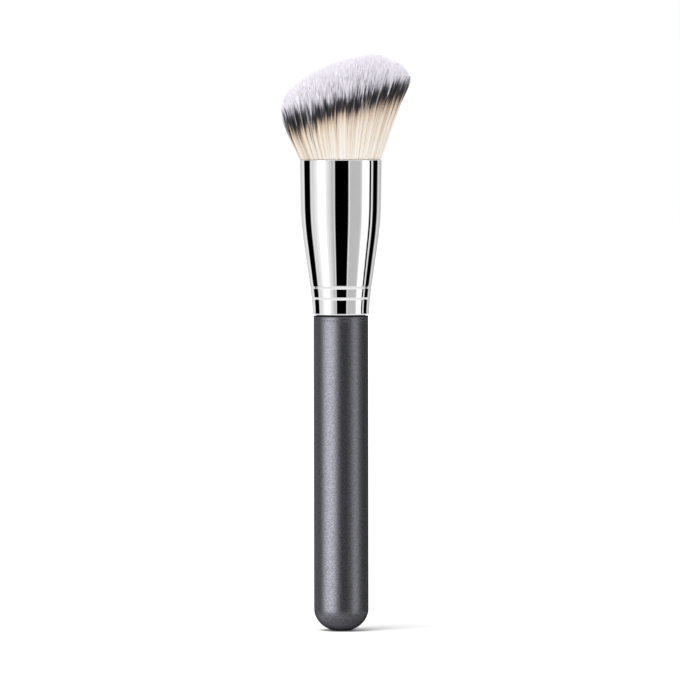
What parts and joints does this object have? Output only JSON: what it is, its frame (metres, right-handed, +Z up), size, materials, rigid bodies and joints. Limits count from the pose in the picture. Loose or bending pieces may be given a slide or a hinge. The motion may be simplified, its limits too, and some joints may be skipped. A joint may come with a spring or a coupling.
{
  "type": "foundation brush",
  "caption": "Dense foundation brush with a slanted, domed, dip-dyed tuft, a crimped chrome ferrule and a thick round grained handle with a domed end.",
  "frame": {"origin": "centre of the small flat at the end of the handle, on which the brush stands", "axes": "+Z up the brush's axis towards the bristles, +X towards the longer side of the slanted tuft, -Y the side that the picture shows"},
  "size_m": [0.0381, 0.0381, 0.1699],
  "materials": {
    "dipped_filament": "fine soft filaments, cream at the root, then a black band, then white tips with a hint of lavender",
    "binding_thread": "undyed spun thread",
    "clear_resin": "set casting resin",
    "amber_resin": "set adhesive",
    "chrome_plate": "mirror-polished plating",
    "stained_wood": "dark stain",
    "grained_skin": "gunmetal grey with a slight metallic sheen and a fine leather-like grain"
  },
  "bodies": {
    "root": {"bristle_tuft": "dipped_filament", "binding_thread": "binding_thread", "root_plug": "clear_resin", "tenon_glue": "amber_resin", "ferrule": "chrome_plate", "handle_core": "stained_wood", "handle_skin": "grained_skin"}
  },
  "joints": []
}
